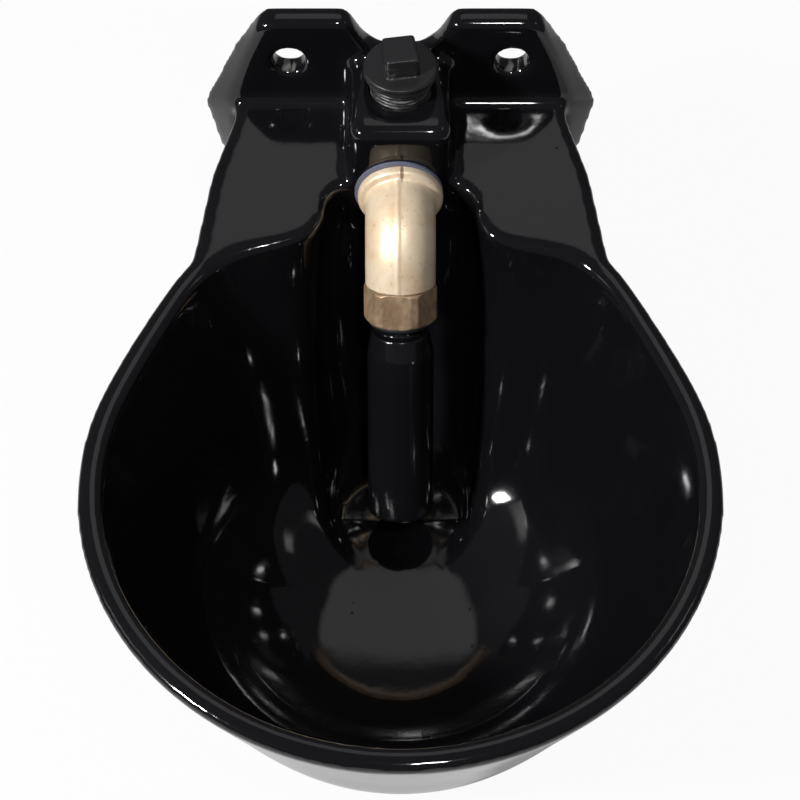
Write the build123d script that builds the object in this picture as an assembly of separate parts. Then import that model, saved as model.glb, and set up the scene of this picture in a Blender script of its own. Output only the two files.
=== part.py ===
"""Livestock drinking bowl with a tube valve: cast body, brass elbow, valve and hanging tube.

Frame: X to the right seen from the front, +Y back towards the wall, +Z up. The origin is the
midpoint of the two mounting holes, on the wall face (y = 0). Lengths are in millimetres.
"""

import math
import os

from build123d import *

# ---------------------------------------------------------------- bowl casting
BOWL_AXIS_Y = -200.0  # distance of the bowl's axis from the wall
RIM_Z = -35.0  # height of the rim's top face
RIM_INNER_R = 117.8
RIM_WIDTH = 10.9
BOWL_DEPTH = 127.0  # rim to floor, inside
FLOOR_WALL = 5.8
BOWL_DRAFT = 17.5  # degrees from vertical, inner wall
BOWL_OUTER_DRAFT = 20.8
BOWL_FLOOR_R = 60.0  # inside corner between wall and floor
NECK_REACH = 145.0  # bowl axis to the neck's rear wall, just behind the boss face
NECK_DRAFT = 22.0
NECK_FLOOR_R = 32.0
NECK_FACE_DROP = 19.0  # the neck's rear wall stays upright this far below the rim
NECK_WALL = 7.0
NECK_HALF_WIDTH = 32.0
NECK_SPREAD = 5.0  # extra half width half-way down
NECK_CORNER_R = 10.0  # at the rim
NECK_CORNER_GROWTH = 22.0  # how much larger that corner is at the floor
NECK_CORNER_SPARE = 4.0  # flat left beside the largest corner
SHOULDER_ANGLES = (20.0, 42.0, 56.0)  # polar angles of the shoulder curve
SHOULDER_BULGES = (0.0, 7.0, 13.5)  # how far it stands outside the bowl's circle
FLOOR_SECTION_ANGLES = (18, 35, 52, 67, 79, 90)
RIM_INNER_EDGE_R = 2.0
RIM_OUTER_EDGE_R = 3.0
RIM_TO_WEB_R = 2.0
OVER_RIM = 7.0  # how far the cut for the inside runs over the rim

# ---------------------------------------------------------------- wall plate and webs
HOLE_SPACING = 96.0
HOLE_R = 7.0
HOLE_EDGE_R = 1.4
PLATE_T = 11.0
DIP_Z = 3.5
PLATE_FOOT_Z = -120.0
WEB_SLOPE = 8.0  # degrees, down to the front
WEB_T = 7.0
WEB_FRONT_Y = -95.0  # where the webs' slope would meet the rim
WEB_SIDE = ((73.0, -2.0), (73.0, -19.0), (81.7, -48.0), (90.6, -106.0))  # half, seen from above
WEB_SIDE_CORNERS = (25.0, 60.0)
TOP_BEND_R = 90.0  # easy bend between the rim and the webs' slope
PLATE_BACK = ((7.0, 2.9), (15.0, 8.6), (23.0, 23.5), (58.0, 23.5), (71.6, 2.6),
              (88.0, -34.0), (82.6, -64.0), (34.0, -120.0))  # half outline on the wall
PLATE_FRONT = ((6.0, 2.9), (14.0, 8.8), (21.8, 22.5), (60.5, 22.5), (67.0, 2.6),
               (75.6, -24.0), (72.0, -60.0), (30.0, -118.0))  # and PLATE_T before it
PLATE_CORNERS = (8.0, 12.0, 5.0, 9.0, 20.0, 13.0, 8.0, 6.0)
EAR_EDGE_R = 3.0
EAR_FOLD_REACH = (62.0, 70.0)  # full to here, then fading out

# ---------------------------------------------------------------- boss and water channel
BOSS_HALF_WIDTH = 22.0
BOSS_FACE_Y = -55.8
BOSS_CORNER_R = 7.0
BOSS_TOP_EDGE_R = 6.0
FOLD_R = 4.0  # inside corners between boss, webs and ears
CHANNEL_Y = -27.5
CHANNEL_R = 11.0
INLET_CORE_R = 12.06  # core of the 3/4 inch inlet thread
INLET_THREAD_LENGTH = 22.0
INLET_BOSS_R = 20.0
INLET_Z = PLATE_FOOT_Z
ELBOW_AXIS_Z = -33.0
THREAD_R = 13.22  # 3/4 inch pipe thread, outside
THREAD_PLAY = 0.12
PLUG_HOLE_DEPTH = 20.0
SPOT_FACE_R = 20.0
SPOT_FACE_REACH = 9.0
BOSS_FOOT_Z = -70.0
INLET_BOSS_TOP = -60.0
RIB_T = 12.0
RIB_REACH = 100.0
RIB_FOOT = 18.0  # above the inlet

# ---------------------------------------------------------------- top plug
PLUG_SHOW = 8.0  # bare thread between the boss and the gasket
PLUG_THREAD_LENGTH = 15.5
PLUG_FLANGE_R = 15.7
PLUG_FLANGE_T = 2.6
PLUG_HEAD = (14.0, 15.5)
PLUG_HEAD_H = 9.5
PLUG_HEAD_TURN = 9.0
PLUG_GASKET_T = 1.5
PLUG_BORE_R = 9.5

# ---------------------------------------------------------------- elbow
PIPE_R = 15.1
PIPE_BORE_R = 8.5
COLLAR_R = 18.4
COLLAR_T = 4.5
ELBOW_GASKET_T = 1.2
ELBOW_GASKET_R = 19.0
ELBOW_GASKET_SHIFT = (-0.7, 0.7)  # it sits a little up and to the left
ELBOW_GASKET_PLAY = 1.1  # round the thread
SEAM_X = -1.2  # the casting's parting ridge
SEAM_T = 1.1
SEAM_H = 0.4
INLET_STUB = 8.0  # straight pipe before the bend, from the boss face
BEND_R = 25.0
BEND_ANGLE = 60.0
OUTLET_STRAIGHT = 9.0  # bend to hexagon nut
SPIGOT_LENGTH = 14.0  # screwed into the boss
SPIGOT_R = 12.7  # outlet thread, inside the nut
SPIGOT_REACH = 6.0
CHAMBER_R = 10.5
CHAMBER_TOP = -4.0

# ---------------------------------------------------------------- outlet nut and tube ring
NUT_FLATS = 29.0
NUT_TURNED_R = 15.8
NUT_LENGTH = 16.0
NUT_TURN = 7.5  # degrees, of a corner from the front
NUT_LIP_R = 11.5
NUT_LIP_T = 1.0
RING_BORE_R = 10.3
RING_TOP_T = 1.4
RING_BEAD_R = 13.8
RING_BEAD_T = 2.0
FIT = 0.05  # play between pieces that only touch
PAST = 2.0  # how far cutting tools run past what they cut
TRIM_REACH = 400.0  # larger than the casting
NEAR = 0.05  # for picking edges
ARC_MIDDLE = 1 - math.sqrt(0.5)  # middle of a quarter circle between legs of 1

# ---------------------------------------------------------------- valve
SEAT_LENGTH = 5.5
SEAT_LIP_H = 0.9
SEAT_LIP_R = 6.2
SEAT_BORE_R = 5.2
SEAT_HUB_R = 3.6
SEAT_ARMS = 3
SEAT_ARM_W = 1.6
SEAT_ARM_H = 2.5
O_RING_CORD = 1.8
STEM_R = 2.0
STEM_PLAY = 0.06
SEAL_R = 7.4
SEAL_T = 2.4
HEAD_R = 7.8
HEAD_T = 1.8
STEM_NUT_FLATS = 7.0
STEM_NUT_T = 2.6
STEM_TIP = 0.8
EYE_R = 4.0
EYE_T = 4.0
EYE_FLARE = 0.35
PIN_R = 1.5
PIN_PLAY = 0.06
SPRING_WIRE_R = 0.55
SPRING_TURNS = 4.0
SPRING_SIDES = 12  # straight runs in each turn of the coil

# ---------------------------------------------------------------- drinking tube
TUBE_R = 14.5
TUBE_WALL = 2.4
TUBE_LENGTH = 87.0  # shoulder to lower end
TUBE_SHOULDER_R = 12.6
TUBE_TAPER = 9.0
TUBE_FLANGE_R = 11.8
TUBE_FLANGE_T = 1.8
TUBE_NECK_R = 9.0
TUBE_NECK_BORE_R = 7.0
FLANGE_GAP = 1.9  # flange over the ring, at rest
SHOULDER_GAP = 4.1  # shoulder under the ring, at rest
TUBE_LIP_R = 1.1

# ---------------------------------------------------------------- worked-out places
# Stations along the outlet axis, measured from the end of the bend.
NUT_TOP = OUTLET_STRAIGHT
SPIGOT_END = NUT_TOP + SPIGOT_REACH
NUT_END = NUT_TOP + NUT_LENGTH
LIP_TOP = NUT_END - NUT_LIP_T
RING_TOP = LIP_TOP - RING_TOP_T
RING_END = NUT_END + RING_BEAD_T
SEAT_TOP = SPIGOT_END - SEAT_LENGTH
SEAL_FOOT = SEAT_TOP - SEAT_LIP_H
SEAL_TOP = SEAL_FOOT - SEAL_T
HEAD_TOP = SEAL_TOP - HEAD_T
STEM_NUT_TOP = HEAD_TOP - STEM_NUT_T
STEM_TOP = STEM_NUT_TOP - STEM_TIP
FLANGE_FOOT = RING_TOP - FLANGE_GAP
FLANGE_TOP = FLANGE_FOOT - TUBE_FLANGE_T
PIN_AT = RING_TOP + RING_TOP_T
SHOULDER_AT = RING_END + SHOULDER_GAP
TUBE_END = SHOULDER_AT + TUBE_LENGTH


def radians(angle):
    return math.radians(angle)


# The top face's bend, as (y, z) where it starts at the rim and ends on the slope.
TOP_BEND_RUN = TOP_BEND_R * math.tan(radians(WEB_SLOPE / 2))
TOP_BEND_START = (WEB_FRONT_Y - TOP_BEND_RUN, RIM_Z)
TOP_BEND_END = (
    WEB_FRONT_Y + TOP_BEND_RUN * math.cos(radians(WEB_SLOPE)),
    RIM_Z + TOP_BEND_RUN * math.sin(radians(WEB_SLOPE)),
)
BEND_START = Vector(0, BOSS_FACE_Y - INLET_STUB, ELBOW_AXIS_Z)
OUTLET_DIR = Vector(0, -math.cos(radians(BEND_ANGLE)), -math.sin(radians(BEND_ANGLE)))
BEND_END = BEND_START + Vector(
    0,
    -BEND_R * math.sin(radians(BEND_ANGLE)),
    -BEND_R * (1 - math.cos(radians(BEND_ANGLE))),
)
# In this plane local Z runs along the outlet axis, and local X is the row's X.
OUTLET = Plane(origin=BEND_END, x_dir=(1, 0, 0), z_dir=OUTLET_DIR)


# ---------------------------------------------------------------- small helpers
def turned(points):
    """A solid of revolution about local Z from (radius, height) points."""
    outline = Polyline([(r, 0, z) for r, z in points], close=True)
    return revolve(make_face(outline), Axis.Z, 360)


def rod(radius, low, high, at=(0, 0)):
    return Pos(at[0], at[1], (low + high) / 2) * Cylinder(radius, high - low)


def block(x_range, y_range, z_range):
    sizes = [high - low for low, high in (x_range, y_range, z_range)]
    middle = [(low + high) / 2 for low, high in (x_range, y_range, z_range)]
    return Pos(*middle) * Box(*sizes)


def hexagon(flats, low, high, turn=0):
    across = RegularPolygon(flats / 2, 6, major_radius=False)
    return Pos(0, 0, low) * extrude(Rot(0, 0, turn) * across, high - low)


# ---------------------------------------------------------------- bowl casting
def wall_reach(z, top_reach, top_z, draft, floor_z, corner_r):
    """Distance of a drafted wall from the bowl's axis at height z, with its floor corner."""
    slope = math.tan(radians(draft))
    centre_z = floor_z + corner_r
    centre = top_reach - (top_z - centre_z) * slope - corner_r / math.cos(radians(draft))
    tangent_z = centre_z - corner_r * math.sin(radians(draft))
    if z >= tangent_z:
        return top_reach - max(top_z - z, 0) * slope
    return centre + math.sqrt(max(corner_r**2 - (z - centre_z) ** 2, 0))


def mirrored(point):
    return Vector(-point.X, point.Y, point.Z)


def basin_outline(bowl_r, neck_reach, neck_half, z):
    """The pear-shaped outline of the basin at one height, as a face."""
    height_share = min(1.0, max(0.0, 1 - (RIM_Z - z) / BOWL_DEPTH))
    rear_y = BOWL_AXIS_Y + neck_reach
    wished_corner = NECK_CORNER_R + NECK_CORNER_GROWTH * (1 - height_share)
    corner = min(wished_corner, neck_half - NECK_CORNER_SPARE)
    shoulder = []
    for angle, bulge in zip(SHOULDER_ANGLES, SHOULDER_BULGES):
        reach = bowl_r + bulge * height_share
        along = reach * math.cos(radians(angle))
        back = reach * math.sin(radians(angle))
        shoulder.append(Vector(along, BOWL_AXIS_Y + back, z))
    neck_foot = Vector(neck_half, rear_y - corner, z)
    neck_top = Vector(neck_half - corner, rear_y, z)
    front = Vector(0, BOWL_AXIS_Y - bowl_r, z)
    start = radians(SHOULDER_ANGLES[0])
    tangent = Vector(-math.sin(start), math.cos(start), 0)
    right = Spline(shoulder + [neck_foot], tangents=[tangent, Vector(0, 1, 0)])
    left = Spline(
        [mirrored(neck_foot)] + [mirrored(p) for p in reversed(shoulder)],
        tangents=[Vector(0, -1, 0), Vector(tangent.X, -tangent.Y, 0)],
    )
    right_corner = RadiusArc(neck_foot, neck_top, -corner)
    rear = Line(neck_top, mirrored(neck_top))
    left_corner = RadiusArc(mirrored(neck_top), mirrored(neck_foot), -corner)
    bowl = ThreePointArc(mirrored(shoulder[0]), front, shoulder[0])
    return make_face(Wire([*right.edges(), *right_corner.edges(), *rear.edges(),
                           *left_corner.edges(), *left.edges(), *bowl.edges()]))


def basin_heights(floor_z, corner_r, top_z):
    """Heights of the sections: few on the straight wall, close together on the floor corner."""
    centre_z = floor_z + corner_r
    corner = [centre_z - corner_r * math.sin(radians(a)) for a in FLOOR_SECTION_ANGLES]
    face_foot = RIM_Z - NECK_FACE_DROP
    return [top_z, RIM_Z, face_foot, (face_foot + corner[0]) / 2] + corner


def basin(top_r, draft, floor_drop, corner_extra, neck_extra, over_rim):
    """A closed solid of the basin: its inside, or its outside when walls are added."""
    floor_z = RIM_Z - BOWL_DEPTH - floor_drop
    slope = math.tan(radians(draft))
    sections = []
    for z in basin_heights(floor_z, BOWL_FLOOR_R + corner_extra, RIM_Z + over_rim):
        bowl_r = wall_reach(z, top_r, RIM_Z, draft, floor_z, BOWL_FLOOR_R + corner_extra)
        bowl_r += max(0.0, z - RIM_Z) * slope
        neck = wall_reach(
            z, NECK_REACH + neck_extra, RIM_Z - NECK_FACE_DROP, NECK_DRAFT, floor_z,
            NECK_FLOOR_R + corner_extra,
        )
        share = (RIM_Z - z) / (RIM_Z - floor_z)
        neck_half = NECK_HALF_WIDTH + neck_extra + NECK_SPREAD * math.sin(math.pi * share)
        sections.append(basin_outline(bowl_r, neck, neck_half, z))
    return loft(sections)


def top_height(y):
    """Height of the casting's top face: level at the rim, an easy bend, then the webs' slope."""
    if y <= TOP_BEND_START[0]:
        return RIM_Z
    if y >= TOP_BEND_END[0]:
        return TOP_BEND_END[1] + (y - TOP_BEND_END[0]) * math.tan(radians(WEB_SLOPE))
    run = y - TOP_BEND_START[0]
    return RIM_Z + TOP_BEND_R - math.sqrt(TOP_BEND_R**2 - run**2)


def above_top():
    """Everything over the rim and webs, which trims the casting's top face."""
    bend_middle_y = (TOP_BEND_START[0] + TOP_BEND_END[0]) / 2
    start = Vector(0, *TOP_BEND_START)
    end = Vector(0, *TOP_BEND_END)
    front = Vector(0, -TRIM_REACH, RIM_Z)
    rear = Vector(0, PAST, top_height(PAST))
    edges = [
        Line(front, start),
        ThreePointArc(start, Vector(0, bend_middle_y, top_height(bend_middle_y)), end),
        Line(end, rear),
        Polyline(rear, Vector(0, PAST, TRIM_REACH), Vector(0, -TRIM_REACH, TRIM_REACH), front),
    ]
    outline = Wire([edge for line in edges for edge in line.edges()])
    return extrude(make_face(outline), TRIM_REACH, both=True)


def webs():
    """The sloping plates either side of the boss, from the wall plate into the rim."""
    outline = list(WEB_SIDE) + [(-x, y) for x, y in reversed(WEB_SIDE)]
    plan = make_face(Polyline(outline, close=True))
    for (_, corner_y), radius in zip(WEB_SIDE[1:3], WEB_SIDE_CORNERS):
        plan = fillet([v for v in plan.vertices() if abs(v.Y - corner_y) < NEAR], radius)
    front_y = WEB_SIDE[-1][1] - PAST
    rear_y = WEB_SIDE[0][1]
    fall = (rear_y - front_y) * math.tan(radians(WEB_SLOPE))
    rear_z = top_height(rear_y) - WEB_T
    side = [(front_y, 0), (rear_y, 0), (rear_y, rear_z), (front_y, rear_z - fall)]
    slab = extrude(make_face(Polyline([(0, y, z) for y, z in side], close=True)),
                   TRIM_REACH, both=True)
    return slab & Pos(0, 0, -TRIM_REACH) * extrude(plan, TRIM_REACH)


def plate_outline(corners, y):
    """Half outline from the dip to the foot, mirrored into a closed face at depth y."""
    points = [(x, y, z) for x, z in corners]
    other_half = [(-x, y, z) for x, z in reversed(corners)]
    return make_face(Polyline(points + other_half, close=True))


def wall_plate():
    """The plate against the wall, with its two ears, lofted to give the bevelled sides."""
    plate = loft(
        [plate_outline(PLATE_BACK, 0.0), plate_outline(PLATE_FRONT, -PLATE_T)], ruled=True
    )
    for back, front, radius in zip(PLATE_BACK, PLATE_FRONT, PLATE_CORNERS):
        x = (back[0] + front[0]) / 2
        z = (back[1] + front[1]) / 2
        across = [
            e for e in plate.edges()
            if math.hypot(abs((e @ 0.5).X) - x, (e @ 0.5).Y + PLATE_T / 2, (e @ 0.5).Z - z) < NEAR
        ]
        plate = fillet(across, radius)
    return fillet(plate.faces().sort_by(Axis.Y)[0].edges(), EAR_EDGE_R)


def boss():
    """The upright boss that holds the water channel, down to the inlet at its foot."""
    plan = Pos(0, BOSS_FACE_Y / 2) * Rectangle(2 * BOSS_HALF_WIDTH, -BOSS_FACE_Y)
    front = plan.vertices().sort_by(Axis.Y)[:2]
    tower = extrude(fillet(front, BOSS_CORNER_R), DIP_Z - BOSS_FOOT_Z)
    tower = Pos(0, 0, BOSS_FOOT_Z) * tower
    top_edges = tower.faces().sort_by(Axis.Z)[-1].edges()
    tower = fillet([e for e in top_edges if (e @ 0.5).Y < -NEAR], BOSS_TOP_EDGE_R)
    foot = rod(INLET_BOSS_R, INLET_Z, INLET_BOSS_TOP, (0, CHANNEL_Y))
    back = block((-INLET_BOSS_R, INLET_BOSS_R), (CHANNEL_Y, -1), (INLET_Z, INLET_BOSS_TOP))
    return tower + foot + back


def on_top(edge):
    return all(abs(p.Z - top_height(p.Y)) < NEAR for p in (edge @ 0, edge @ 0.5, edge @ 1))


def outer_edges(shell):
    """Eases the corner between rim and webs, then rounds the top face's outside edges."""
    corners = [
        e for e in shell.edges()
        if abs((e @ 0.5).X) > WEB_SIDE[2][0] and e.length < 2 * WEB_T
        and WEB_SIDE[-1][1] < (e @ 0.5).Y and abs((e @ 0).Z - (e @ 1).Z) > WEB_T - PAST
        and not on_top(e) and (e @ 0.5).Y < WEB_SIDE[2][1] - WEB_SIDE_CORNERS[0]
    ]
    shell = fillet(corners, RIM_TO_WEB_R)
    rim = [
        e for e in shell.edges()
        if on_top(e) and (abs((e @ 0.5).X) > RIM_INNER_R / 2 or e.length > RIM_INNER_R)
        and (abs((e @ 0).Y - (e @ 1).Y) > 1 or e.length > 2 * RIM_INNER_R)
    ]
    return fillet(rim, RIM_OUTER_EDGE_R)


def boss_folds(shell):
    """Rounds the inside corners at the foot of the boss, and where it meets the ears."""
    foot = [
        e for e in shell.edges()
        if on_top(e) and abs((e @ 0.5).X) < BOSS_HALF_WIDTH + NEAR
        and BOSS_FACE_Y - NEAR < (e @ 0.5).Y < -PLATE_T - NEAR and e.length > PAST
    ]
    upright = [
        e for e in shell.edges()
        if abs(abs((e @ 0.5).X) - BOSS_HALF_WIDTH) < NEAR
        and abs((e @ 0.5).Y + PLATE_T) < NEAR and (e @ 0.5).Z > RIM_Z + BOSS_CORNER_R
    ]
    return fillet(foot + upright, FOLD_R)


def ear_fold(x, leg):
    """Cross-section of the concave fillet between the webs and the ears."""
    y, z = -PLATE_T, top_height(-PLATE_T)
    low = Vector(x, y - leg, top_height(y - leg))
    high = Vector(x, y, z + leg)
    behind = Vector(x, y + PAST, z + leg)
    beneath = Vector(x, y + PAST, z - PAST)
    ahead = Vector(x, y - leg, z - PAST)
    hollow = ThreePointArc(low, Vector(x, y - leg * ARC_MIDDLE, z + leg * ARC_MIDDLE), high)
    return make_face(Wire([*hollow.edges(), *Polyline(high, behind, beneath, ahead, low).edges()]))


def ear_folds():
    """That fillet along both ears, fading out at the ends."""
    full, end = EAR_FOLD_REACH
    sections = [(-end, PAST / 4), (-full, FOLD_R), (full, FOLD_R), (end, PAST / 4)]
    return loft([ear_fold(x, leg) for x, leg in sections], ruled=True)


def boss_core():
    """The plain middle of the boss, put back after the neck's cut has shaved its face."""
    half = BOSS_HALF_WIDTH - BOSS_CORNER_R
    return block((-half, half), (BOSS_FACE_Y, CHANNEL_Y), (BOSS_FOOT_Z, DIP_Z - BOSS_TOP_EDGE_R))


def drilled(shell):
    """The water channel, its threaded mouths, the elbow's seat and the mounting holes."""
    shell -= rod(CHANNEL_R, INLET_Z - PAST, DIP_Z + PAST, (0, CHANNEL_Y))
    shell -= rod(INLET_CORE_R, INLET_Z - PAST, INLET_Z + INLET_THREAD_LENGTH, (0, CHANNEL_Y))
    shell -= rod(THREAD_R + THREAD_PLAY, DIP_Z - PLUG_HOLE_DEPTH, DIP_Z + PAST, (0, CHANNEL_Y))
    across = Pos(0, BOSS_FACE_Y, ELBOW_AXIS_Z) * Rot(90, 0, 0)
    shell -= across * rod(THREAD_R + THREAD_PLAY, BOSS_FACE_Y - CHANNEL_Y, 0)
    shell -= across * rod(SPOT_FACE_R, 0, SPOT_FACE_REACH)
    for side in (-1, 1):
        hole = Pos(side * HOLE_SPACING / 2, 0, 0) * Rot(90, 0, 0)
        shell -= hole * rod(HOLE_R, -PAST, PLATE_T + PAST)
    mouths = [
        e for e in shell.edges().filter_by(GeomType.CIRCLE)
        if abs(e.radius - HOLE_R) < NEAR and abs((e @ 0.5).Y + PLATE_T) < NEAR
    ]
    return fillet(mouths, HOLE_EDGE_R)


def bowl_casting():
    outside = basin(
        RIM_INNER_R + RIM_WIDTH, BOWL_OUTER_DRAFT, FLOOR_WALL, FLOOR_WALL, NECK_WALL, OVER_RIM
    )
    inside = basin(RIM_INNER_R, BOWL_DRAFT, 0.0, 0.0, 0.0, OVER_RIM + PAST)
    rib = block((-RIB_T / 2, RIB_T / 2), (-RIB_REACH, -PAST), (INLET_Z + RIB_FOOT, BOSS_FOOT_Z))
    shell = outer_edges(outside + webs() - above_top())
    shell = boss_folds(shell + wall_plate() + boss() + rib)
    shell = shell + ear_folds() - inside + boss_core()
    mouth = [e for e in shell.edges() if on_top(e) and inside.distance_to(e @ 0.5) < NEAR]
    return drilled(fillet(mouth, RIM_INNER_EDGE_R))


# ---------------------------------------------------------------- top plug
def top_plug():
    """Screwed plug: threaded shank, flange and square head, hollow from below."""
    foot = DIP_Z + PLUG_SHOW + PLUG_GASKET_T - PLUG_THREAD_LENGTH
    flange_foot = DIP_Z + PLUG_SHOW + PLUG_GASKET_T
    shank = rod(THREAD_R, foot, flange_foot)
    flange = rod(PLUG_FLANGE_R, flange_foot, flange_foot + PLUG_FLANGE_T)
    flange = fillet(flange.edges().filter_by(GeomType.CIRCLE), 0.8)
    head = extrude(RectangleRounded(*PLUG_HEAD, 1.5), PLUG_HEAD_H + 0.5)
    head = fillet(head.faces().sort_by(Axis.Z)[-1].edges(), 1.0)
    head = Pos(0, 0, flange_foot + PLUG_FLANGE_T - 0.5) * Rot(0, 0, PLUG_HEAD_TURN) * head
    plug = shank + flange + head - rod(PLUG_BORE_R, foot - 1, flange_foot - 1)
    return Pos(0, CHANNEL_Y, 0) * plug


def plug_gasket():
    low = DIP_Z + PLUG_SHOW
    ring = rod(PLUG_FLANGE_R - 0.3, low, low + PLUG_GASKET_T)
    ring -= rod(THREAD_R + FIT, low - 1, low + PLUG_GASKET_T + 1)
    return Pos(0, CHANNEL_Y, 0) * ring


# ---------------------------------------------------------------- elbow
def elbow_path(start):
    """Centre line of the elbow: level inlet, bend, then the straight outlet."""
    inlet = Line(start, BEND_START)
    bend_centre = BEND_START - Vector(0, 0, BEND_R)
    half = radians(BEND_ANGLE / 2)
    middle = bend_centre + Vector(0, -BEND_R * math.sin(half), BEND_R * math.cos(half))
    bend = ThreePointArc(BEND_START, middle, BEND_END)
    outlet = Line(BEND_END, BEND_END + OUTLET_DIR * NUT_TOP)
    return Wire([*inlet.edges(), *bend.edges(), *outlet.edges()])


def piped(radius, start):
    path = elbow_path(start)
    return sweep(Plane(origin=start, z_dir=(0, -1, 0)) * Circle(radius), path=path)


def elbow_body():
    collar_face = Vector(0, BOSS_FACE_Y - ELBOW_GASKET_T, ELBOW_AXIS_Z)
    at_boss = Pos(0, BOSS_FACE_Y, ELBOW_AXIS_Z) * Rot(90, 0, 0)
    collar = rod(COLLAR_R, ELBOW_GASKET_T, ELBOW_GASKET_T + COLLAR_T)
    collar = fillet(collar.edges().filter_by(GeomType.CIRCLE).sort_by(Axis.Z)[-1], 2.0)
    seam_slab = block(
        (SEAM_X - SEAM_T / 2, SEAM_X + SEAM_T / 2), (-TRIM_REACH, 0), (-TRIM_REACH, 0)
    )
    body = piped(PIPE_R, collar_face) + at_boss * collar
    body += piped(PIPE_R + SEAM_H, collar_face) & seam_slab
    body += at_boss * rod(THREAD_R, -SPIGOT_LENGTH, ELBOW_GASKET_T)
    body += OUTLET * rod(SPIGOT_R, NUT_TOP - 1, SPIGOT_END)
    body -= piped(PIPE_BORE_R, Vector(0, BOSS_FACE_Y + SPIGOT_LENGTH + 1, ELBOW_AXIS_Z))
    body -= OUTLET * rod(CHAMBER_R, CHAMBER_TOP, SPIGOT_END + 1)
    return body


def elbow_gasket():
    ring = rod(ELBOW_GASKET_R, 0, ELBOW_GASKET_T)
    ring -= rod(THREAD_R + ELBOW_GASKET_PLAY, -PAST, ELBOW_GASKET_T + PAST)
    right, up = ELBOW_GASKET_SHIFT
    return Pos(right, BOSS_FACE_Y, ELBOW_AXIS_Z + up) * Rot(90, 0, 0) * ring


def outlet_nut():
    """Hexagon collar screwed on the elbow's outlet, with an inward lip for the tube ring."""
    corner = 1.0
    blank = turned([
        (0, NUT_TOP), (NUT_TURNED_R - corner, NUT_TOP), (NUT_TURNED_R, NUT_TOP + corner),
        (NUT_TURNED_R, NUT_END - corner), (NUT_TURNED_R - corner, NUT_END), (0, NUT_END),
    ])
    nut = blank & hexagon(NUT_FLATS, NUT_TOP, NUT_END, NUT_TURN)
    nut -= rod(SPIGOT_R + FIT, NUT_TOP - 1, LIP_TOP)
    nut -= rod(NUT_LIP_R, LIP_TOP - 1, NUT_END + 1)
    return OUTLET * nut


def tube_ring():
    """Rubber ring snapped into the nut's lip: it carries the tube's flange and cushions it."""
    waist = NUT_LIP_R - FIT
    ring = turned([
        (RING_BORE_R, RING_TOP), (SPIGOT_R - FIT, RING_TOP), (SPIGOT_R - FIT, LIP_TOP),
        (waist, LIP_TOP), (waist, NUT_END), (RING_BEAD_R, NUT_END),
        (RING_BEAD_R, RING_END - 0.8), (RING_BEAD_R - 0.8, RING_END), (RING_BORE_R, RING_END),
    ])
    return OUTLET * ring


# ---------------------------------------------------------------- valve
def valve_seat():
    """Nozzle ring in the elbow's outlet: raised lip above, guide hub on arms below."""
    body_r = CHAMBER_R - FIT
    groove_r = CHAMBER_R - O_RING_CORD + FIT
    groove_mid = (SEAT_TOP + SPIGOT_END) / 2
    groove_half = O_RING_CORD / 2 + 0.2
    seat = turned([
        (SEAT_BORE_R, SEAT_TOP - SEAT_LIP_H), (SEAT_LIP_R - 0.3, SEAT_TOP - SEAT_LIP_H),
        (SEAT_LIP_R, SEAT_TOP), (body_r, SEAT_TOP), (body_r, groove_mid - groove_half),
        (groove_r, groove_mid - groove_half), (groove_r, groove_mid + groove_half),
        (body_r, groove_mid + groove_half), (body_r, SPIGOT_END), (SEAT_BORE_R, SPIGOT_END),
    ])
    low, high = SPIGOT_END - SEAT_ARM_H, SPIGOT_END
    hub = rod(SEAT_HUB_R, low, high)
    for arm in range(SEAT_ARMS):
        reach = (SEAT_BORE_R + body_r) / 2
        hub += Rot(0, 0, arm * 360 / SEAT_ARMS) * block(
            (0, reach), (-SEAT_ARM_W / 2, SEAT_ARM_W / 2), (low, high)
        )
    return OUTLET * (seat + hub - rod(STEM_R + STEM_PLAY, low - 1, high + 1))


def seat_o_ring():
    cord_r = O_RING_CORD / 2 - FIT
    ring_r = CHAMBER_R - O_RING_CORD / 2
    return OUTLET * Pos(0, 0, (SEAT_TOP + SPIGOT_END) / 2) * Torus(ring_r, cord_r)


def valve_stem():
    """Round stem with a flared eye, whose hole lies along X for the cross pin."""
    stem = rod(STEM_R, STEM_TOP, PIN_AT)
    eye = Pos(0, 0, PIN_AT) * Rot(0, 90, 0) * Cylinder(EYE_R, EYE_T)
    middle_r = PIN_R + PIN_PLAY
    flare_r = middle_r + EYE_FLARE
    half = EYE_T / 2 + 0.01
    hole = turned([(0, -half), (flare_r, -half), (middle_r, 0), (flare_r, half), (0, half)])
    return OUTLET * (stem + eye - Pos(0, 0, PIN_AT) * Rot(0, 90, 0) * hole)


def washer(radius, low, high):
    return OUTLET * (rod(radius, low, high) - rod(STEM_R, low - 1, high + 1))


def valve_seal():
    return washer(SEAL_R, SEAL_TOP, SEAL_FOOT)


def valve_head():
    return washer(HEAD_R, HEAD_TOP, SEAL_TOP)


def stem_nut():
    nut = hexagon(STEM_NUT_FLATS, STEM_NUT_TOP, HEAD_TOP)
    return OUTLET * (nut - rod(STEM_R, STEM_NUT_TOP - 1, HEAD_TOP + 1))


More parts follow.
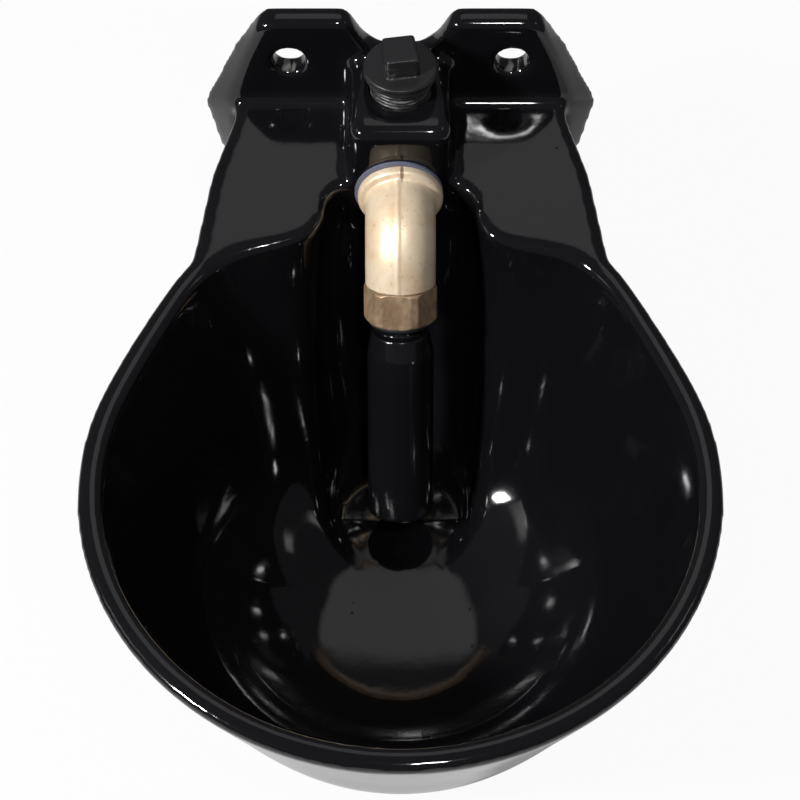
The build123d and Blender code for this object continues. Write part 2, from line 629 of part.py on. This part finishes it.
def return_spring():
    """Conical spring between the chamber's upper step and the valve head."""
    top_r = CHAMBER_R - SPRING_WIRE_R - 0.3
    foot_r = HEAD_R - SPRING_WIRE_R - 0.6
    low = CHAMBER_TOP + SPRING_WIRE_R + FIT
    high = HEAD_TOP - SPRING_WIRE_R - FIT
    steps = round(SPRING_TURNS * SPRING_SIDES)
    coil = []
    for step in range(steps + 1):
        share = step / steps
        angle = 2 * math.pi * SPRING_TURNS * share
        reach = top_r + (foot_r - top_r) * share
        height = low + (high - low) * share
        coil.append((reach * math.cos(angle), reach * math.sin(angle), height))
    path = Polyline(coil)
    start = Plane(origin=path @ 0, z_dir=path % 0)
    wire = start * RegularPolygon(SPRING_WIRE_R, 8)
    return OUTLET * sweep(wire, path=path, transition=Transition.RIGHT)


def cross_pin():
    half = TUBE_NECK_R - 0.2
    return OUTLET * Pos(0, 0, PIN_AT) * Rot(0, 90, 0) * Cylinder(PIN_R, 2 * half)


def drinking_tube():
    """The hanging tube: flange and neck inside the nut and ring, then the wide tube."""
    inner_r = TUBE_R - TUBE_WALL
    full_at = SHOULDER_AT + TUBE_TAPER
    lip = TUBE_LIP_R
    outline = [
        (TUBE_NECK_BORE_R, FLANGE_TOP), (TUBE_FLANGE_R, FLANGE_TOP),
        (TUBE_FLANGE_R, FLANGE_FOOT), (TUBE_NECK_R, FLANGE_FOOT), (TUBE_NECK_R, SHOULDER_AT),
        (TUBE_SHOULDER_R, SHOULDER_AT), (TUBE_R, full_at), (TUBE_R, TUBE_END - lip),
        (TUBE_R - lip, TUBE_END), (inner_r, TUBE_END), (inner_r, full_at),
        (TUBE_NECK_BORE_R, SHOULDER_AT + TUBE_WALL),
    ]
    tube = turned(outline)
    pin_hole = Pos(0, 0, PIN_AT) * Rot(0, 90, 0) * Cylinder(PIN_R + PIN_PLAY, 3 * TUBE_NECK_R)
    return OUTLET * (tube - pin_hole)


# ---------------------------------------------------------------- writing the parts
PARTS = [
    bowl_casting, top_plug, plug_gasket, elbow_body, elbow_gasket, outlet_nut, tube_ring,
    valve_seat, seat_o_ring, valve_stem, valve_head, valve_seal, stem_nut, return_spring,
    cross_pin, drinking_tube,
]


def main():
    os.makedirs("parts", exist_ok=True)
    for make in PARTS:
        shape = make()
        export_step(shape, f"parts/{make.__name__}.step")
        size = shape.bounding_box().size
        print(make.__name__, round(shape.volume), [round(v, 2) for v in size])


if __name__ == "__main__":
    main()
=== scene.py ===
"""Looks of a cast livestock drinking bowl with a brass tube valve.

Lengths are in metres in the part's own frame: X right, +Y to the wall, +Z up.
Noise scales are per metre, so a scale of 500 gives marks about 2 mm across.
"""

import math

import bpy
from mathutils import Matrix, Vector


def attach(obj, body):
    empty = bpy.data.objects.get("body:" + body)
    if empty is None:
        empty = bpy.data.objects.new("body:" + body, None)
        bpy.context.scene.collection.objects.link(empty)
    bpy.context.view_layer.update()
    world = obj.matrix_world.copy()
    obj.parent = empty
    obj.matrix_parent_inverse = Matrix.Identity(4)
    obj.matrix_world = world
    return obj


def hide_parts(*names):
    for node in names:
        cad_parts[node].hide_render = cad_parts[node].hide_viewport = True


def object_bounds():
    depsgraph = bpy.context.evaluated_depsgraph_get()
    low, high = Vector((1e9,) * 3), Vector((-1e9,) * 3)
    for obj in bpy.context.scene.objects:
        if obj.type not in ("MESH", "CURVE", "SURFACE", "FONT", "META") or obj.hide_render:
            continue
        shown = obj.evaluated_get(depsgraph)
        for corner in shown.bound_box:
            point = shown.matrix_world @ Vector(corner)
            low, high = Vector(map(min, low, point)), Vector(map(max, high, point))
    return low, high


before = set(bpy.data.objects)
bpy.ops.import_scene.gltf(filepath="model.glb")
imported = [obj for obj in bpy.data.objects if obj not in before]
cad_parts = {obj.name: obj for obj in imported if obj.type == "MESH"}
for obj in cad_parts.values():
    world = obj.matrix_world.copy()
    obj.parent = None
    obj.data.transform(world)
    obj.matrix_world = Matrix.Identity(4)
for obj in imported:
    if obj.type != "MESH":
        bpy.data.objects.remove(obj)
cad_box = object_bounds()

MM = 0.001

# Places on the part
OUTLET_AT = Vector((0, -85.45, -45.5)) * MM  # lower end of the elbow's bend
OUTLET_WAY = Vector((0, -0.5, -0.8660254))
COLLAR_TOP = 8.9 * MM  # along the outlet, from OUTLET_AT
COLLAR_FOOT = (23.4 * MM, 24.8 * MM)
CRUST_SHARPNESS = 1400.0  # per metre, so the crust reaches 0.7 mm from the seam
# A short dark line painted on the elbow's casting parting line, near the top of the elbow
PARTING_MARK_AT = Vector((0.6, -60.5, -15.4)) * MM
PARTING_MARK_REACH = Vector((1.1, 5, 5)) * MM
PLUG_AXIS_Y = -27.5 * MM
SCUFFED_CORNER = Vector((-4.5, -33.5, 18.5)) * MM
SCUFF_REACH = Vector((4, 5, 6)) * MM
SCUFFED_BELOW = (9.5 * MM, 11.5 * MM)  # the plug's thread is under its head
BOLT_HOLE_X = 48 * MM
BOLT_HOLE_R = (6.9 * MM, 7.5 * MM)
INLET_R = (12.9 * MM, 13.3 * MM)
INLET_TOP = (-99.0 * MM, -97.5 * MM)
THREAD_PITCH = 1.814 * MM
TURN = 2 * math.pi

# The basin's floor, dished in front of the tube
FLOOR_Z = -162 * MM
FLOOR_SLACK = 1.5 * MM
FLOOR_BACK_Y = -90 * MM
FACING_UP = 0.15
DISH_Y = -182 * MM
DISH_R = 60 * MM
DISH_REACH = 1.3  # shares of DISH_R
DISH_RISE = 6 * MM
DISH_FADE = 40 * MM
TUBE_ROOM_Y = -142 * MM

# The plug's hole and thread
BORE_R = 13.65 * MM
BORE_EDGE = 2 * MM
BORE_LOW = -16 * MM
SHANK_R = 13.22 * MM
THREAD_DEPTH = 0.95 * MM
THREAD_LOW = -2.4 * MM
THREAD_HIGH = 12.6 * MM
THREAD_FADE = 0.8 * MM

# Stage
FLOOR_HALF = 0.9
FLOOR_GAP = 0.5 * MM
FLOOR_PAINT = (0.6, 0.6, 0.6, 1)
FLOOR_WHITE = 0.95  # share of plain white that the floor shows
FLOOR_IN_GLOSS = 0.3  # the same, in reflections
WHITE = (1, 1, 1, 1)
ROOM = (0.10, 0.10, 0.11, 1)
LIGHT_DISTANCE = 1.6
LIGHT_TARGET = Vector((0, -0.16, -0.06))
CAMERA_PLACE = (0, -0.6667, 0.6692)
CAMERA_TILT = 35.5
CAMERA_LENS = 96.75
CAMERA_SENSOR = 36
CAMERA_SHIFT_X = -0.5 / 800
CAMERA_CLIP = (0.05, 30)


# ---------------------------------------------------------------- node trees
class Level:
    """A number that changes over a surface. Arithmetic on it adds Math nodes."""

    def __init__(self, tree, socket):
        self.tree, self.socket = tree, socket

    def math(self, operation, *values, clamp=False):
        settings = {"operation": operation, "use_clamp": clamp}
        return self.tree.node("ShaderNodeMath", settings, *values)

    def __add__(self, other):
        return self.math("ADD", self, other)

    def __sub__(self, other):
        return self.math("SUBTRACT", self, other)

    def __rsub__(self, other):
        return self.math("SUBTRACT", other, self)

    def __mul__(self, other):
        return self.math("MULTIPLY", self, other)

    def __pow__(self, other):
        return self.math("POWER", self, other)

    __radd__, __rmul__ = __add__, __mul__

    def __abs__(self):
        return self.math("ABSOLUTE", self)

    def sine(self):
        return self.math("SINE", self)

    def folded(self, at):
        """Runs up to at, then down again."""
        return self.math("PINGPONG", self, at)

    def clipped(self):
        return self.math("ADD", self, 0.0, clamp=True)

    def between(self, low, high):
        """0 below low, 1 above high, smooth between them."""
        settings = {"interpolation_type": "SMOOTHSTEP"}
        return self.tree.node("ShaderNodeMapRange", settings, self, low, high)

    def beside(self, name):
        """Another output of the node that gives this one."""
        return Level(self.tree, self.socket.node.outputs[name])


class Tree:
    """A node tree being built. node() adds any node and gives one of its outputs."""

    def __init__(self, tree):
        self.tree = tree
        self.tree.nodes.clear()

    def fill(self, socket, value):
        if isinstance(value, Level):
            self.tree.links.new(value.socket, socket)
        elif value is not None:
            socket.default_value = value

    def node(self, kind, settings, *values, out=0, **named):
        made = self.tree.nodes.new(kind)
        for key, value in settings.items():
            setattr(made, key, value)
        for socket, value in zip(made.inputs, values):
            self.fill(socket, value)
        for key, value in named.items():
            self.fill(made.inputs[key.replace("_", " ")], value)
        return Level(self, made.outputs[out])

    def end(self, kind, shader):
        self.fill(self.tree.nodes.new(kind).inputs[0], shader)


class Finish(Tree):
    """A material being built, with the patterns that finishes are made of."""

    def __init__(self, name):
        self.material = bpy.data.materials.new(name)
        self.material.use_nodes = True
        super().__init__(self.material.node_tree)

    def place(self):
        return self.node("ShaderNodeTexCoord", {}, out="Object")

    def split(self, axis):
        """One coordinate of the surface point: X, Y or Z."""
        return self.node("ShaderNodeSeparateXYZ", {}, self.place(), out=axis)

    def vector(self, operation, first, second=None, out="Vector"):
        settings = {"operation": operation}
        return self.node("ShaderNodeVectorMath", settings, first, second, out=out)

    def away(self, centre, reach):
        """Distance from a point, where each axis counts its own reach as 1."""
        moved = self.vector("SUBTRACT", self.place(), centre)
        return self.vector("LENGTH", self.vector("DIVIDE", moved, reach), out="Value")

    def along(self, origin, direction):
        """Distance from a point, measured in one direction."""
        moved = self.vector("SUBTRACT", self.place(), tuple(origin))
        return self.vector("DOT_PRODUCT", moved, tuple(direction), out="Value")

    def noise(self, scale, detail=2.0, roughness=0.5, place=None):
        return self.node(
            "ShaderNodeTexNoise", {}, place or self.place(),
            Scale=scale, Detail=detail, Roughness=roughness,
        )

    def streaks(self, scale, squash, detail=3.0):
        """Noise that is stretched where squash is small."""
        place = self.vector("MULTIPLY", self.place(), squash)
        return self.noise(scale, detail, 0.6, place)

    def dots(self, scale, core, edge):
        """Round spots, 1 within core of their middle and 0 past edge."""
        cells = self.node("ShaderNodeTexVoronoi", {}, self.place(), Scale=scale)
        return 1 - cells.between(core, edge)

    def blend(self, share, low, high):
        """Colour low where share is 0, colour high where it is 1."""
        made = self.tree.nodes.new("ShaderNodeMix")
        made.data_type = "RGBA"
        factor, first, second = (made.inputs[index] for index in (0, 6, 7))
        self.fill(factor, share)
        self.fill(first, (*low, 1) if isinstance(low, tuple) else low)
        self.fill(second, (*high, 1))
        return Level(self, made.outputs[2])

    def bump(self, height, depth, strength, normal=None):
        return self.node(
            "ShaderNodeBump", {}, Height=height, Distance=depth, Strength=strength,
            Normal=normal,
        )

    def finished(self, **sockets):
        shader = self.node("ShaderNodeBsdfPrincipled", {}, **sockets)
        self.end("ShaderNodeOutputMaterial", shader)
        return self.material


def square(bounds):
    return [value ** 2 for value in bounds]


# ---------------------------------------------------------------- finishes
def scraped_bolt_holes(f):
    """1 where bolts have scraped the two mounting holes."""
    beside = abs(f.split("X")) - BOLT_HOLE_X
    inside = 1 - (beside ** 2.0 + f.split("Z") ** 2.0).between(*square(BOLT_HOLE_R))
    return inside * f.streaks(420.0, (1.0, 0.15, 1.0)).between(0.50, 0.62)


def inlet_thread(f):
    """1 in the inlet's bore, and the height of its right-hand thread."""
    x, y, z = f.split("X"), f.split("Y") - PLUG_AXIS_Y, f.split("Z")
    bore = 1 - (x ** 2.0 + y ** 2.0).between(*square(INLET_R))
    inlet = bore * (1 - z.between(*INLET_TOP))
    angle = x.math("ARCTAN2", x, y)
    return inlet, (z * (TURN / THREAD_PITCH) + angle).sine() * inlet


def enamelled_iron():
    """Thick glossy black enamel, scraped in the bolt holes, bare iron at the inlet."""
    f = Finish("enamelled_iron")
    wave = f.noise(14.0, 1.0, 0.4) + f.noise(48.0, 1.5, 0.4) * 0.4
    ripple = f.noise(190.0, 2.0, 0.5)
    normal = f.bump(wave + ripple * 0.08, 0.9 * MM, 0.3)
    pinholes = f.dots(150.0, 0.03, 0.10) * f.noise(33.0, 1.0).between(0.62, 0.66)
    normal = f.bump(pinholes, -0.2 * MM, 0.6, normal)
    inlet, thread = inlet_thread(f)
    normal = f.bump(thread, 0.5 * MM, 1.0, normal)
    scraped = scraped_bolt_holes(f)
    dusty = f.dots(260.0, 0.03, 0.06) * f.noise(19.0, 2.0).between(0.58, 0.68)
    film = f.noise(12.0, 4.0, 0.6).between(0.45, 0.8)
    colour = f.blend(film, (0.0042, 0.0043, 0.0050), (0.0066, 0.0067, 0.0076))
    colour = f.blend(dusty * 0.6, colour, (0.13, 0.12, 0.11))
    colour = f.blend(scraped * 0.7, colour, (0.17, 0.17, 0.165))
    colour = f.blend(inlet * 0.85, colour, (0.11, 0.095, 0.08))
    rough = 0.07 + film * 0.04 + (dusty + scraped + inlet).clipped() * 0.3
    return f.finished(Base_Color=colour, Roughness=rough, Normal=normal)


def gloss_plastic():
    """The tube: glossy black moulding with faint flow marks and fine scratches."""
    f = Finish("gloss_black_plastic")
    grain = f.noise(420.0)
    wave = f.noise(60.0, 1.0)
    scratch = f.streaks(900.0, (1.0, 1.0, 0.05)).between(0.64, 0.72)
    colour = f.blend(f.noise(30.0, 3.0), (0.0035, 0.0035, 0.0042), (0.006, 0.006, 0.007))
    rough = 0.09 + f.noise(90.0, 3.0) * 0.06 + scratch * 0.1
    normal = f.bump(grain * 0.3 + wave, 0.1 * MM, 0.4)
    return f.finished(Base_Color=colour, Roughness=rough, Normal=normal)


def matt_plastic():
    """The plug: moulded, dull, with pale scuffs on the head's corner and the thread."""
    f = Finish("black_plastic")
    rub = f.streaks(520.0, (0.35, 0.35, 1.0), 5.0).between(0.47, 0.66)
    corner = 1 - f.away(SCUFFED_CORNER, SCUFF_REACH).between(0.3, 1.0)
    thread = 1 - f.split("Z").between(*SCUFFED_BELOW)
    handled = f.noise(75.0).between(0.58, 0.72)
    scuffs = rub * (corner + thread * 0.7 + handled * 0.4).clipped()
    colour = f.blend(scuffs * 0.75, (0.013, 0.013, 0.014), (0.17, 0.17, 0.175))
    normal = f.bump(f.noise(700.0, 3.0), 0.12 * MM, 0.5)
    return f.finished(Base_Color=colour, Roughness=0.36 + scuffs * 0.3, Normal=normal)


def rubber(name, shade):
    """Dull mottled rubber, a little darker and lighter than its shade."""
    f = Finish(name)
    mottle = f.noise(300.0, 4.0, 0.65)
    darker, lighter = (tuple(share * c for c in shade) for share in (0.8, 1.3))
    colour = f.blend(mottle, darker, lighter)
    normal = f.bump(mottle, 0.15 * MM, 0.5)
    return f.finished(Base_Color=colour, Roughness=0.42 + mottle * 0.2, Normal=normal)


def cast_brass():
    """Nickel-toned cast brass: sand-cast grain, tan clouds, a few dark stains and a short
    dark mark on the casting's parting line.
    """
    f = Finish("cast_brass")
    grain = f.noise(900.0, 4.0, 0.6)
    skin = f.noise(150.0, 3.0)
    cloud = f.noise(70.0, 3.0, 0.55).between(0.36, 0.66)
    fleck = f.noise(420.0, 3.0, 0.6).between(0.60, 0.72)
    patch = f.noise(24.0).between(0.56, 0.75)
    parting_mark = 1 - f.away(PARTING_MARK_AT, PARTING_MARK_REACH).between(0.45, 1.0)
    from_seam = (f.along(OUTLET_AT, OUTLET_WAY) - COLLAR_TOP) * CRUST_SHARPNESS
    crust = (1 - from_seam ** 2.0).clipped() * f.noise(260.0, 3.0).between(0.35, 0.6)
    colour = f.blend(cloud, (0.92, 0.76, 0.55), (0.83, 0.62, 0.41))
    colour = f.blend(fleck * 0.45, colour, (0.42, 0.27, 0.16))
    colour = f.blend(patch * 0.35, colour, (0.60, 0.42, 0.27))
    # Parting mark: a short dark line in colour only, with no groove in the shape there.
    colour = f.blend(parting_mark * 0.8, colour, (0.16, 0.085, 0.04))
    colour = f.blend(crust * 0.85, colour, (0.30, 0.13, 0.05))
    rough = 0.33 + grain * 0.16 + crust * 0.2
    normal = f.bump(grain + skin * 1.5, 0.16 * MM, 0.5)
    return f.finished(Base_Color=colour, Metallic=0.3, Roughness=rough, Normal=normal)


def turned_brass():
    """Brass of the hexagon collar: duller, streaked along its flats, with painted shade in
    patches along its lower edge.
    """
    f = Finish("turned_brass")
    grain = f.noise(700.0, 3.0, 0.6)
    streak = f.streaks(330.0, (1.0, 1.0, 0.12)).between(0.42, 0.68)
    cloud = f.noise(110.0, 3.0, 0.55).between(0.4, 0.66)
    foot = f.along(OUTLET_AT, OUTLET_WAY).between(*COLLAR_FOOT)
    # Painted shade: dark patches over the collar's lower edge, above the rubber ring.
    foot_shade = foot * f.noise(190.0, 3.0).between(0.5, 0.62)
    colour = f.blend(cloud, (0.50, 0.345, 0.215), (0.34, 0.225, 0.135))
    colour = f.blend(streak * 0.45, colour, (0.16, 0.105, 0.065))
    colour = f.blend(foot_shade * 0.8, colour, (0.10, 0.05, 0.025))
    rough = 0.36 + grain * 0.14 + foot_shade * 0.2
    normal = f.bump(grain, 0.1 * MM, 0.5)
    return f.finished(Base_Color=colour, Metallic=0.5, Roughness=rough, Normal=normal)


def steel():
    """Bright stainless steel of the valve's small parts."""
    f = Finish("stainless_steel")
    grain = f.noise(500.0, 3.0)
    colour = f.blend(grain, (0.52, 0.52, 0.53), (0.66, 0.66, 0.66))
    normal = f.bump(grain, 0.05 * MM, 0.4)
    return f.finished(
        Base_Color=colour, Metallic=1.0, Roughness=0.24 + grain * 0.15, Normal=normal
    )


FINISHES = {
    "enamelled_iron": enamelled_iron(),
    "black_plastic": matt_plastic(),
    "gloss_black_plastic": gloss_plastic(),
    "black_rubber": rubber("black_rubber", (0.014, 0.014, 0.015)),
    "grey_gasket": rubber("grey_gasket", (0.13, 0.14, 0.20)),
    "cast_brass": cast_brass(),
    "turned_brass": turned_brass(),
    "stainless_steel": steel(),
}

SLOT_OF = {
    "bowl_casting": "enamelled_iron", "top_plug": "black_plastic",
    "plug_gasket": "black_rubber", "elbow_body": "cast_brass",
    "elbow_gasket": "grey_gasket", "outlet_nut": "turned_brass",
    "tube_ring": "black_rubber", "valve_seat": "turned_brass",
    "seat_o_ring": "black_rubber", "valve_stem": "stainless_steel",
    "valve_head": "stainless_steel", "valve_seal": "black_rubber",
    "stem_nut": "stainless_steel", "return_spring": "stainless_steel",
    "cross_pin": "stainless_steel", "drinking_tube": "gloss_black_plastic",
}

for name, slot in SLOT_OF.items():
    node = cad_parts[name]
    node.data.materials.clear()
    node.data.materials.append(FINISHES[slot])


# ---------------------------------------------------------------- pieces
def linked(name, data):
    """A new object, linked to the scene."""
    piece = bpy.data.objects.new(name, data)
    bpy.context.scene.collection.objects.link(piece)
    return piece


def softened(node, cell, rounds):
    """A copy of a node's mesh with its edges rounded and its corners filled."""
    rough = linked("rough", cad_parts[node].data.copy())
    cells = rough.modifiers.new("cells", "REMESH")
    cells.mode, cells.voxel_size = "VOXEL", cell
    ease = rough.modifiers.new("ease", "SMOOTH")
    ease.factor, ease.iterations = 0.5, rounds
    depsgraph = bpy.context.evaluated_depsgraph_get()
    mesh = bpy.data.meshes.new_from_object(rough.evaluated_get(depsgraph))
    bpy.data.objects.remove(rough)
    return mesh


def skin(name, node, body, cell, rounds):
    """A piece with softened edges that stands for a node and moves with its body."""
    slot = SLOT_OF[node]
    mesh = softened(node, cell, rounds)
    mesh.materials.clear()
    mesh.materials.append(FINISHES[slot])
    mesh.shade_smooth()
    piece = linked(name, mesh)
    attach(piece, body)
    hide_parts(node)
    return mesh


def dish(mesh):
    """Lets the basin's floor curve down to its middle, a little ahead of the tube."""
    points = [list(vertex.co) for vertex in mesh.vertices]
    upright = [normal.vector.z > FACING_UP for normal in mesh.vertex_normals]
    for point, faces_up in zip(points, upright):
        x, y, z = point
        if faces_up and z > FLOOR_Z - FLOOR_SLACK and y < FLOOR_BACK_Y:
            out = min(math.hypot(x, y - DISH_Y) / DISH_R, DISH_REACH)
            share = max(0.0, 1 - (z - FLOOR_Z) / DISH_FADE)
            share *= min(1.0, max(0.0, (TUBE_ROOM_Y - y) / DISH_FADE))
            point[2] = z + DISH_RISE * out ** 2 * share
    mesh.vertices.foreach_set("co", [value for point in points for value in point])
    mesh.update()


def clear_bore(mesh):
    """Keeps the plug's hole as wide as the plug needs after the edges are eased."""
    for vertex in mesh.vertices:
        x, y = vertex.co.x, vertex.co.y - PLUG_AXIS_Y
        out = math.hypot(x, y)
        if vertex.co.z > BORE_LOW and BORE_R - BORE_EDGE < out < BORE_R:
            wider = BORE_R / out
            vertex.co.x, vertex.co.y = x * wider, y * wider + PLUG_AXIS_Y


def cut_thread(mesh):
    """Presses a right-hand groove into the plug's shank."""
    for vertex in mesh.vertices:
        x, y, z = vertex.co.x, vertex.co.y - PLUG_AXIS_Y, vertex.co.z
        out = math.hypot(x, y)
        if THREAD_LOW < z < THREAD_HIGH and SHANK_R - THREAD_DEPTH < out:
            turns = z / THREAD_PITCH - math.atan2(y, x) / TURN
            groove = abs(2 * (turns % 1) - 1)
            share = min(1, (z - THREAD_LOW) / THREAD_FADE, (THREAD_HIGH - z) / THREAD_FADE)
            narrower = 1 - THREAD_DEPTH * groove * share / out
            vertex.co.x, vertex.co.y = x * narrower, y * narrower + PLUG_AXIS_Y


casting = skin("enamel_skin", "bowl_casting", "housing", 1.5 * MM, 20)
dish(casting)
clear_bore(casting)
cut_thread(skin("moulded_plug", "top_plug", "plug", 0.36 * MM, 6))
skin("cast_elbow", "elbow_body", "housing", 0.55 * MM, 4)
skin("brass_collar", "outlet_nut", "housing", 0.36 * MM, 5)
skin("moulded_tube", "drinking_tube", "tube", 0.6 * MM, 5)
skin("rubber_ring", "tube_ring", "housing", 0.3 * MM, 5)


# ---------------------------------------------------------------- floor, lights, camera
def floor():
    """A pale floor that the camera sees as white, with the bowl's shadow on it."""
    low = cad_box[0].z - FLOOR_GAP
    corners = [(x * FLOOR_HALF, y * FLOOR_HALF, low)
               for x, y in ((-1, -1), (1, -1), (1, 1), (-1, 1))]
    mesh = bpy.data.meshes.new("floor")
    mesh.from_pydata(corners, [], [range(len(corners))])
    piece = linked("floor", mesh)
    f = Finish("floor")
    seen = f.node("ShaderNodeLightPath", {}, out="Is Camera Ray")
    glossy, clear = seen.beside("Is Glossy Ray"), seen.beside("Is Transmission Ray")
    share = (seen + glossy * FLOOR_IN_GLOSS + clear).clipped() * FLOOR_WHITE
    paint = f.node("ShaderNodeBsdfDiffuse", {}, FLOOR_PAINT)
    glow = f.node("ShaderNodeEmission", {}, WHITE, 1.0)
    mixed = f.node("ShaderNodeMixShader", {}, share, paint, glow)
    f.end("ShaderNodeOutputMaterial", mixed)
    mesh.materials.append(f.material)


def soft_light(name, azimuth, elevation, width, height, power, fade):
    """A lamp aimed at the bowl, dimmer over the outer share fade of its half width.

    Azimuth 0 is behind the wall and 90 to the right.
    """
    lamp = bpy.data.lights.new(name, "AREA")
    lamp.shape, lamp.size, lamp.size_y, lamp.energy = "RECTANGLE", width, height, power
    lamp.use_nodes = True
    t = Tree(lamp.node_tree)
    place = t.node("ShaderNodeNewGeometry", {}, out="Parametric")
    across = t.node("ShaderNodeSeparateXYZ", {}, place, out="X")
    share_across, share_up = (
        side.folded(0.5).between(0.0, fade / 2) for side in (across, across.beside("Y"))
    )
    glow = t.node("ShaderNodeEmission", {}, WHITE, share_across * share_up)
    t.end("ShaderNodeOutputLight", glow)
    piece = linked(name, lamp)
    turn, rise = math.radians(azimuth), math.radians(elevation)
    level = math.cos(rise)
    away = Vector((math.sin(turn) * level, math.cos(turn) * level, math.sin(rise)))
    piece.location = LIGHT_TARGET + away * LIGHT_DISTANCE
    piece.rotation_euler = (-away).to_track_quat("-Z", "Y").to_euler()


def surroundings():
    """A dim room that the camera sees as plain white."""
    world = bpy.data.worlds.new("studio")
    bpy.context.scene.world = world
    world.use_nodes = True
    t = Tree(world.node_tree)
    seen = t.node("ShaderNodeLightPath", {}, out="Is Camera Ray")
    room = t.node("ShaderNodeBackground", {}, ROOM)
    white = t.node("ShaderNodeBackground", {}, WHITE)
    t.end("ShaderNodeOutputWorld", t.node("ShaderNodeMixShader", {}, seen, room, white))


def camera():
    data = bpy.data.cameras.new("camera")
    data.sensor_fit, data.sensor_width, data.lens = "HORIZONTAL", CAMERA_SENSOR, CAMERA_LENS
    data.shift_x = CAMERA_SHIFT_X
    data.clip_start, data.clip_end = CAMERA_CLIP
    piece = linked("camera", data)
    piece.location = CAMERA_PLACE
    piece.rotation_euler = (math.radians(CAMERA_TILT), 0, 0)
    bpy.context.scene.camera = piece


# name, azimuth, elevation (degrees), width, height (metres), power (watts), fade
LIGHTS = (
    ("back_window", 2, 57.5, 0.74, 0.64, 0.85, 0.3),
    ("left_window", -92, 34, 0.7, 0.5, 1.6, 0.8),
    ("right_window", 84, 46, 0.5, 0.3, 0.7, 0.8),
    ("front_key", -118, 38, 0.24, 0.24, 40, 0.3),
    ("front_fill", 168, 66, 0.12, 0.12, 9, 0.3),
)

floor()
surroundings()
camera()
for light in LIGHTS:
    soft_light(*light)

bpy.context.scene.view_settings.view_transform = "Standard"
